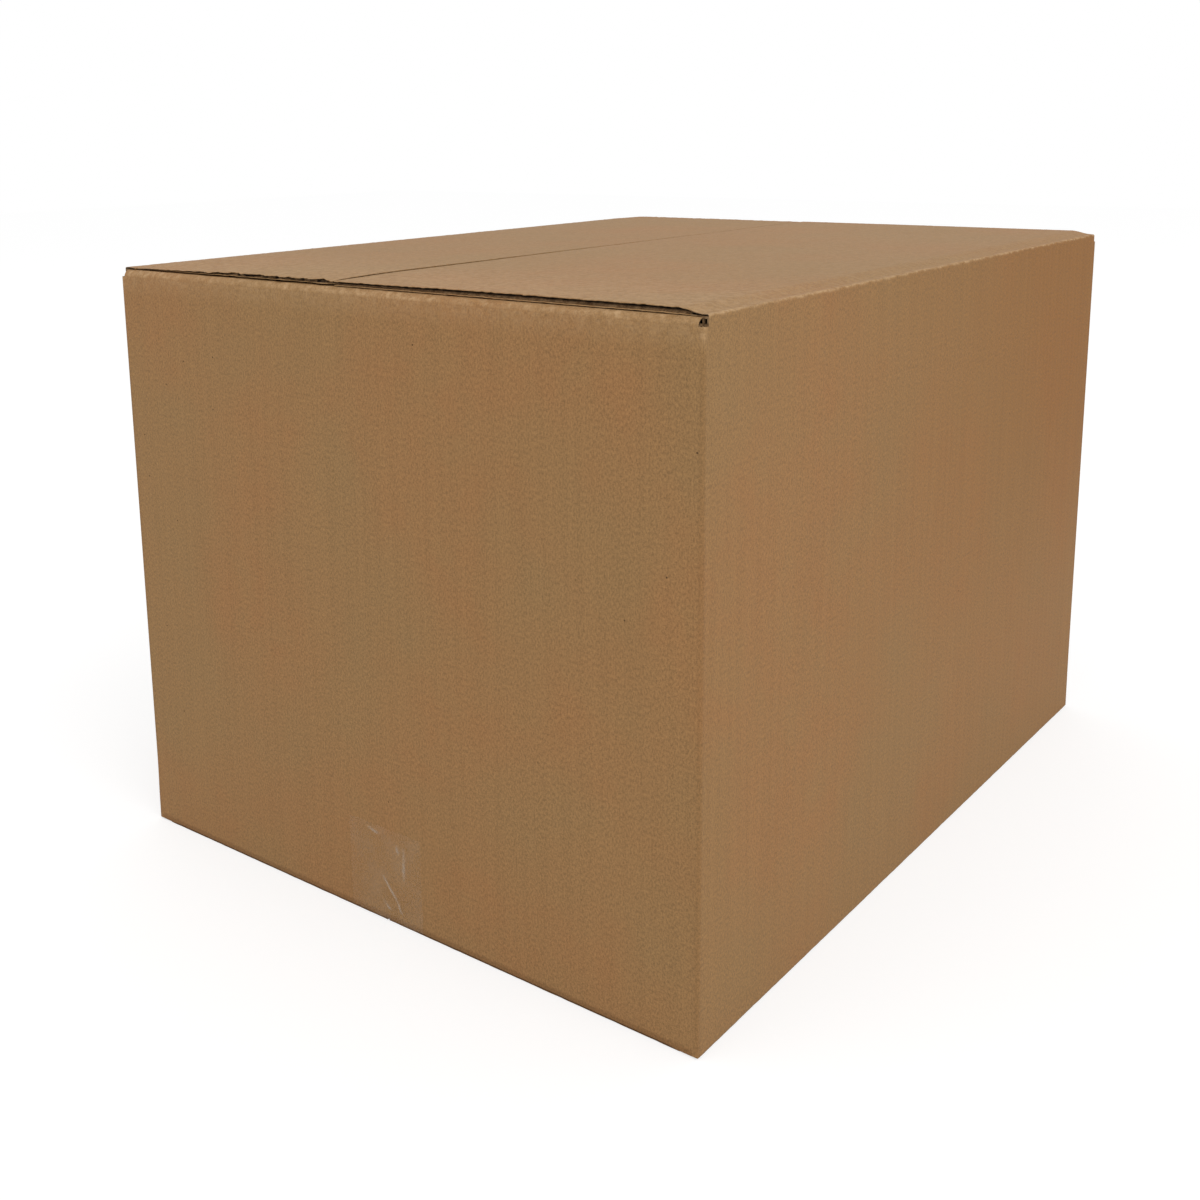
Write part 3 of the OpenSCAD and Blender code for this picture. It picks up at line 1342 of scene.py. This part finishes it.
@dataclass
class TopFlap:
    """An outer top flap that swings: its board, and the creased strip that joins it to the panel."""

    body: str
    side: Side
    sizes: CartonSizes
    finishes: Finishes
    settling: Settling
    crease_thickness: float = 1 * MM
    ramp: float = 14 * MM
    ramp_start: float = 2 * MM
    strip: float = 8 * MM
    reach: float = 1.3 * MM
    seam_reach: float = 0.25 * MM
    rough_end: float = 0.26 * MM
    tear: float = 0.5 * MM
    far_share: float = 0.35
    crumple: float = 0.15 * MM
    dents: float = 1.0
    torn_reach: float = 6 * MM
    panel_wall: float = 0.75 * MM
    panel_hole: float = 4 * MM
    flap_wall: float = 0.22 * MM
    flap_hole: float = 3 * MM
    worn_width: float = 1.8 * MM
    sheen_reach: float = 120 * MM
    seed: float = 0.0

    def __post_init__(self) -> None:
        """Reads the flap's own box, as seen from its own side."""
        low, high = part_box(self.body)
        s = self.sizes
        front = self.side is Side.FRONT
        self.x_low = (low.x if front else -high.x) - self.reach
        self.x_high = (high.x if front else -low.x) + self.reach
        self.depth = ((high.y + s.half_width) if front else (s.half_width - low.y)) + self.seam_reach
        self.near_end = self.x_low if front else self.x_high

    def build(self) -> list[bpy.types.Object]:
        """Models the flap and its crease on the front top edge, then takes them to their own side.

        Returns:
            The board and the creased strip.
        """
        s = self.sizes
        board = self._board()
        crease = self._crease()
        shift = Vector((0, -s.half_width if self.side is Side.FRONT else s.half_width, s.height))
        for piece in (board, crease):
            mark(piece, "wear_painted_light_and_wrinkles", self._wear_and_painted_light)
            stand_on(piece, self.side, Level.TOP, shift)
            mark(piece, "shade_tint", ShadeTint(s).at)
            lay_grain(piece, lambda p, normal: (p.x, p.z + s.half_width - abs(p.y)))
            smooth(piece)
        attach(board, self.body)
        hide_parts(self.body)
        self._hinge(crease)
        return [board, crease]

    def thickness_at(self, d: float) -> float:
        """Thickness of the board at a distance d from the crease."""
        full = self.sizes.board.thickness
        share = soft_step((d - self.ramp_start) / (self.ramp - self.ramp_start))
        return self.crease_thickness + (full - self.crease_thickness) * share

    def _warped(self, p: Vector) -> Vector:
        """Crushes the board towards its crease and lifts it, from its flat shape with its top at z = 0."""
        full = self.sizes.board.thickness
        from_end = abs(p.x - self.near_end)
        thick = self.thickness_at(p.y) * self.settling.thickness_share(from_end, p.y)
        height = (p.z + full) / full * thick
        return Vector((p.x, p.y, height - full + self.settling.height(from_end, p.y, self.depth)))

    def _board(self) -> bpy.types.Object:
        """Models the board of the flap beyond the creased strip.

        Returns:
            The board, lifted and with roughened cut edges.
        """
        s = self.sizes
        columns = round((self.x_high - self.x_low) / COLUMN)
        rows = round((self.depth - self.strip) / (1 * MM))
        sheet = FlutedBoard(
            s.board, self.finishes, self.x_low, self.x_high, self.strip, self.depth,
            columns, rows, self.crumple,
        )
        board = sheet.build(self.body + "_board")
        reshape(board, self._frayed)
        reshape(board, self._warped)
        return board

    def _frayed(self, p: Vector) -> Vector:
        """Roughens the cut edges, and tears and crumples the liners along each end."""
        moved = p.copy()
        from_end = min(p.x - self.x_low, self.x_high - p.x)
        inward = 1 if p.x < 0 else -1
        share = 1 - soft_step(from_end / self.torn_reach)
        if abs(p.x - self.near_end) > abs(self.near_end):
            share *= self.far_share
        lower = p.z < -self.sizes.board.thickness / 2
        along = Vector((0, p.y, 0.1 if lower else 0.0))
        fine = ripple(along, 2.6 * MM, self.seed + 1)
        broad = ripple(along, 9 * MM, self.seed + 2)
        moved.x += inward * share * (self.tear * (0.5 + broad) + 0.3 * MM * fine)
        droop = self.rough_end * (broad + 0.9 * fine - 0.25)
        moved.z += share * (max(0.1 * self.rough_end, -droop) if lower else droop)
        if self.depth - p.y < NEAR:
            moved.y += 0.25 * MM * ripple(p, 3 * MM, self.seed + 3)
        return moved

    def _crease(self) -> bpy.types.Object:
        """Models the strip that runs from the end of the panel over the crease on to the flap.

        Returns:
            The closed strip, fine enough to bend as the flap swings.
        """
        s = self.sizes
        full = s.board.thickness
        stand = s.height - s.ring_high
        rim = -full
        length = self.x_high - self.x_low
        middle = (self.x_low + self.x_high) / 2
        bpy.ops.mesh.primitive_cube_add(size=1, location=(middle, full / 2, (rim - stand) / 2))
        strip = bpy.context.object
        strip.name = self.body + "_crease"
        strip.data.name = strip.name
        strip.scale = (length, full, stand - full)
        settle(strip)
        with editing(strip, "FACE") as mesh:
            pick_faces(mesh, lambda f: f.normal.z > 0.9)
            extrude((0, 0, self.crease_thickness))
            bpy.ops.mesh.select_all(action="DESELECT")
            mesh = bmesh.from_edit_mesh(strip.data)
            pick_faces(mesh, lambda f: f.normal.y > 0.9 and f.calc_center_median().z > rim)
            extrude((0, self.strip - full, 0), 4)
        with editing(strip, "EDGE") as mesh:
            top = rim + self.crease_thickness
            pick_edges(mesh, lambda p: p.y < NEAR and abs(p.z - top) < NEAR)
            bpy.ops.mesh.bevel(offset=self.crease_thickness * 0.8, segments=4, affect="EDGES")
        with editing(strip, "EDGE") as mesh:
            upright = [e for e in mesh.edges if self._is_upright(e, rim)]
            for edge in upright:
                edge.select_set(True)
            bpy.ops.mesh.subdivide(number_cuts=5)
        with editing(strip, "EDGE") as mesh:
            for edge in mesh.edges:
                edge.select_set(abs(edge.verts[0].co.x - edge.verts[1].co.x) > length / 2)
            bpy.ops.mesh.subdivide(number_cuts=min(100, round(length / (4 * MM))))
        with editing(strip, "EDGE") as mesh:
            for edge in mesh.edges:
                edge.select_set(abs(edge.verts[0].co.x - edge.verts[1].co.x) > 3 * MM)
            bpy.ops.mesh.subdivide(number_cuts=1)
        self.finishes.dress(strip, self.finishes.kraft, self.finishes.medium)
        ends = (self.x_low, self.x_high)
        open_channels(strip, ends, self.panel_wall, self.panel_hole, span=(-1, rim))
        open_channels(strip, ends, self.flap_wall, self.flap_hole, span=(rim, 1))
        reshape(strip, self._open_side)
        mark(strip, "shade", lambda p: 1.0 if min(p.x - self.x_low, self.x_high - p.x) > 2 * MM else 0.3)
        reshape(strip, self._creased)
        return strip

    def _open_side(self, p: Vector) -> Vector:
        """Opens the side of the strip's channel on to the flap's own channel."""
        beside = NEAR < self.strip - p.y < 0.3 * MM
        return Vector((p.x, self.strip - NEAR, p.z)) if beside else p

    def _is_upright(self, edge: bmesh.types.BMEdge, rim: float) -> bool:
        """Tells whether an edge of the strip runs up the panel, below the rim."""
        one, other = (v.co for v in edge.verts)
        return abs(one.z - other.z) > 0.5 * MM and max(one.z, other.z) < rim + NEAR

    def _creased(self, p: Vector) -> Vector:
        """Gives the strip the ramp and the lift of the board, and small dents along the crease."""
        full = self.sizes.board.thickness
        rim = -full
        if p.z < rim - NEAR:
            return p
        share = (p.z - rim) / self.crease_thickness
        from_end = abs(p.x - self.near_end)
        thick = self.thickness_at(p.y) * self.settling.thickness_share(from_end, p.y)
        moved = Vector((p.x, p.y, rim + share * thick + self.settling.height(from_end, p.y, self.depth)))
        dent = 0.33 * MM * ripple(p, 3.2 * MM, self.seed + 5)
        dent += 0.15 * MM * ripple(p, 17 * MM, self.seed + 6)
        dent += 0.12 * MM * math.cos(2 * math.pi * p.x / self.sizes.board.flute_pitch)
        fade = 1 - soft_step(p.y / (self.strip * 0.8))
        moved += Vector((0, -0.3, 1)) * self.dents * dent * share * fade
        return moved

    def _hinge(self, crease: bpy.types.Object) -> None:
        """Applies the creased strip's placement to its mesh."""
        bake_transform(crease)

    def _wear_and_painted_light(self, p: Vector) -> float:
        """Wear along the crease, and a painted sheen over the rest of the flap, stronger towards its near
        end, in the model's own place on the front top edge.
        """
        full = self.sizes.board.thickness
        jag = 0.9 * MM * ripple(p, 4 * MM, self.seed + 8)
        over = 1 - soft_step((p.y - 0.4 * MM + jag) / self.worn_width)
        # Painted sheen: the flap is paler beyond the crease, more so towards its near end.
        near = 1 - soft_step(abs(p.x - self.near_end) / self.sheen_reach)
        painted_sheen = (0.28 + 0.26 * near) * soft_step(p.y / (4 * MM))
        return max(painted_sheen, over * soft_step((p.z + full + 0.2 * MM + jag) / (1.1 * MM)))


@dataclass
class BottomTape:
    """Clear tape along the bottom seam, turned up over both end panels."""

    sizes: CartonSizes
    finishes: Finishes
    swell: PanelSwell
    thickness: float = 0.08 * MM
    corner: float = 0.9 * MM
    columns: int = 60
    rows: int = 62
    wrinkle_width: float = 1.2
    wrinkle_height: float = 0.2 * MM
    uneven_end: float = 0.6 * MM
    wrinkles: tuple[tuple[float, float, float, float], ...] = (
        (1.6, 23.5, -7.4, 12.6), (-7.4, 12.6, -10.2, 6.5), (2.3, 10.8, -3.7, 5.3),
        (-12.9, 42.2, -12.1, 26.0), (10.6, 47.5, 4.0, 46.0), (-8.2, 42.3, -9.0, 39.0),
    )

    def build(self) -> bpy.types.Object:
        """Models the tape as one strip from the right end panel, under the carton and up the left one.

        Returns:
            The tape.
        """
        s = self.sizes
        low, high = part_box("bottom_tape")
        x, c = s.half_length, self.corner
        start, end = Vector((c - x, low.y, 0)), Vector((x - c, high.y, 0))
        strip = flat_grid("bottom_tape_film", start, end, 20, self.columns)
        for out in (1, -1):
            with editing(strip) as mesh:
                pick_edges(mesh, lambda p: abs(p.x - out * (x - c)) < NEAR)
                bpy.ops.mesh.spin(
                    steps=4, angle=out * math.pi / 2, center=(out * (x - c), 0, c), axis=(0, 1, 0)
                )
                extrude((0, 0, high.z - c), self.rows)
        face_along(strip, Vector((0, 0, -1)))
        reshape(strip, self._wrinkled)
        finish_with(strip, "SOLIDIFY", thickness=self.thickness, offset=0)
        face_outwards(strip)
        mark(strip, "wear_painted_light_and_wrinkles", lambda p: self._wrinkle(p) if p.z > s.ring_low else 0.0)
        self.finishes.dress(strip, self.finishes.tape)
        focus(strip)
        bpy.ops.object.shade_smooth()
        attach(strip, "box")
        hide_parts("bottom_tape")
        return strip

    def _wrinkle(self, p: Vector) -> float:
        """How much of a small wrinkle or bubble lies at a place on the turned-up end, from 0 to 1."""
        place = Vector((p.y, p.z)) / MM
        most = 0.0
        for y0, z0, y1, z1 in self.wrinkles:
            start, way = Vector((y0, z0)), Vector((y1 - y0, z1 - z0))
            t = min(1.0, max(0.0, (place - start).dot(way) / way.length_squared))
            gap = (place - start - t * way).length
            swell = math.sin(math.pi * (0.12 + 0.76 * t))
            most = max(most, (1 - soft_step(gap / self.wrinkle_width)) * swell)
        return most

    def _wrinkled(self, p: Vector) -> Vector:
        """Lays the film on the swollen panel, with small wrinkles, and its ends a little uneven."""
        moved = p.copy()
        out, side = (1, Side.RIGHT) if p.x > 0 else (-1, Side.LEFT)
        turned = soft_step(p.z / self.corner)
        moved.z += (1 - turned) * self.thickness / 2
        raised = self.thickness + self.wrinkle_height * self._wrinkle(p)
        moved.x += out * turned * (self.swell.at(p, side) + raised)
        if p.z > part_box("bottom_tape")[1].z - NEAR:
            moved.z += self.uneven_end * ripple(p, 6 * MM, 12.0)
        return moved


@dataclass
class Studio:
    """Plain soft light and a white floor that keeps the carton's shadow."""

    floor_size: float = 12.0
    floor_white: float = 0.45
    floor_lift: float = 0.62
    world_light: float = 0.82
    key_energy: float = 30.0
    fill_share: float = 0.25
    key_size: float = 2.4
    aim: tuple[float, float, float] = (0.0, 0.0, 0.15)

    def build(self) -> None:
        """Makes the floor, the world and the lamps."""
        self._floor()
        self._world()
        self._lamp("key_lamp", (-0.9, -2.2, 2.2), self.key_energy, self.key_size)
        self._lamp("fill_lamp", (-2.2, 1.3, 1.7), self.key_energy * self.fill_share, self.key_size)

    def _floor(self) -> None:
        """Adds the floor, whose own light reaches only the camera and reflections."""
        bpy.ops.mesh.primitive_plane_add(size=self.floor_size, location=(0, 0, -0.05 * MM))
        floor = bpy.context.object
        floor.name = "floor"
        n = Surface("White floor")
        n.tree.nodes.remove(n.shader)
        white = n.add("BsdfDiffuse")
        white.inputs["Color"].default_value = (self.floor_white, self.floor_white, self.floor_white, 1)
        bounce = n.add("BsdfDiffuse")
        bounce.inputs["Color"].default_value = (0.8, 0.8, 0.8, 1)
        glow = n.add("Emission")
        glow.inputs["Strength"].default_value = self.floor_lift
        seen = n.add("AddShader")
        n.link(white.outputs[0], seen.inputs[0])
        n.link(glow.outputs[0], seen.inputs[1])
        mix = n.add("MixShader")
        n.link(n.shown(), mix.inputs[0])
        n.link(bounce.outputs[0], mix.inputs[1])
        n.link(seen.outputs[0], mix.inputs[2])
        n.link(mix.outputs[0], n.output.inputs["Surface"])
        floor.data.materials.append(n.material)

    def _world(self) -> None:
        """Makes the world white to the camera and a plain soft light to the carton."""
        world = bpy.data.worlds.new("Studio")
        bpy.context.scene.world = world
        n = Nodes(world)
        light = n.add("Background")
        light.inputs["Color"].default_value = (1, 1, 1, 1)
        n.link(n.ramp(n.shown(), 0.0, 1.0, self.world_light, 1.0), light.inputs["Strength"])
        n.link(light.outputs[0], n.add("OutputWorld").inputs["Surface"])

    def _lamp(self, name: str, place: tuple[float, float, float], energy: float, size: float) -> None:
        """Adds a large square lamp that faces the carton.

        Args:
            name: Name of the lamp.
            place: Where it hangs.
            energy: Its power in watts.
            size: Length of its side.
        """
        bpy.ops.object.light_add(type="AREA", location=place)
        lamp = bpy.context.object
        lamp.name = name
        lamp.data.energy = energy
        lamp.data.size = size
        way = Vector(self.aim) - Vector(place)
        lamp.rotation_euler = way.to_track_quat("-Z", "Y").to_euler()


@dataclass(frozen=True)
class PhotoCamera:
    """The camera at the photograph's viewing angle."""

    place: tuple[float, float, float] = (-0.6854, -0.4615, 0.3852)
    turn_deg: tuple[float, float, float] = (78.347, 0.712, -52.181)
    lens: float = 42.62
    shift: tuple[float, float] = (0.040, -0.150)

    def build(self) -> None:
        """Adds the camera and makes it the scene's own."""
        turn = tuple(math.radians(angle) for angle in self.turn_deg)
        bpy.ops.object.camera_add(location=self.place, rotation=turn)
        camera = bpy.context.object
        camera.name = "photo_camera"
        camera.data.lens = self.lens
        camera.data.sensor_width = 36
        camera.data.shift_x, camera.data.shift_y = self.shift
        camera.data.clip_start = 0.01
        bpy.context.scene.camera = camera


def folded_flaps(sizes: CartonSizes, finishes: Finishes) -> list[FoldedFlap]:
    """Lists the six flaps that stay folded, with their sizes taken from the frame.

    Args:
        sizes: The carton's sizes.
        finishes: The materials.
    Returns:
        The inner flaps of both ends, and the two outer bottom flaps.
    """
    front_low, front_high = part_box("front_flap")
    back_low, back_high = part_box("back_flap")
    reach = 1.5 * MM
    inner_half = sizes.half_width - (sizes.half_length - front_high.x) + reach
    ply = sizes.board.thickness + sizes.board.ply_gap
    inner_depth = 180 * MM
    seam_gap = 1 * MM
    tape_room = 0.12 * MM
    flaps = []
    for side, word in ((Side.LEFT, "left"), (Side.RIGHT, "right")):
        shared = (side, Level.TOP, sizes, finishes, -inner_half, inner_half, inner_depth)
        flaps.append(FoldedFlap(f"{word}_inner_top_flap", *shared, sizes.height - ply))
        shared = (side, Level.BOTTOM, sizes, finishes, -inner_half, inner_half, inner_depth)
        pressed = {"corner": 0.7 * MM, "sink": 2.3 * MM, "corner_sink": 0.6 * MM}
        flaps.append(FoldedFlap(f"{word}_inner_bottom_flap", *shared, ply, **pressed))
    depth = sizes.half_width - seam_gap / 2
    for side, word, low, high in (
        (Side.FRONT, "front", front_low.x, front_high.x), (Side.BACK, "back", -back_high.x, -back_low.x)
    ):
        flaps.append(
            FoldedFlap(
                f"{word}_bottom_flap", side, Level.BOTTOM, sizes, finishes, low - reach, high + reach,
                depth, tape_room, corner=0.8 * MM, flattened=0.76, ends_out=2.5 * MM,
            )
        )
    return flaps


def main() -> None:
    """Builds the sub-assemblies in order, and reports each piece."""
    logging.basicConfig(level=logging.INFO, format="%(message)s")
    bpy.ops.object.select_all(action="DESELECT")
    bpy.context.scene.view_settings.view_transform = "Standard"
    PhotoCamera().build()
    Studio().build()
    sizes = CartonSizes.from_frame()
    finishes = Finishes()
    swell = PanelSwell(sizes)
    pieces = [Walls(sizes, finishes, swell).build()]
    pieces += [flap.build() for flap in folded_flaps(sizes, finishes)]
    front_rest = Settling(0.2 * MM, 0.0, 1.0, lambda d: 0.25 * soft_step((d - 0.1) / 0.1))
    back_rest = Settling(
        0.5 * MM, 0.5 * MM, 0.34,
        lambda d: 0.8 * soft_step(d / 0.012) - 0.5 * soft_step((d - 0.025) / 0.075),
    )
    pieces += TopFlap("front_flap", Side.FRONT, sizes, finishes, front_rest, seed=20.0).build()
    back = TopFlap(
        "back_flap", Side.BACK, sizes, finishes, back_rest,
        ramp=27 * MM, ramp_start=-4 * MM, rough_end=0.65 * MM, tear=2.2 * MM, crumple=0.8 * MM, dents=0.3,
        seed=40.0,
    )
    pieces += back.build()
    pieces.append(BottomTape(sizes, finishes, swell).build())
    for piece in pieces:
        LOG.info("%s: %d faces", piece.name, len(piece.data.polygons))


if __name__ == "__main__":
    main()
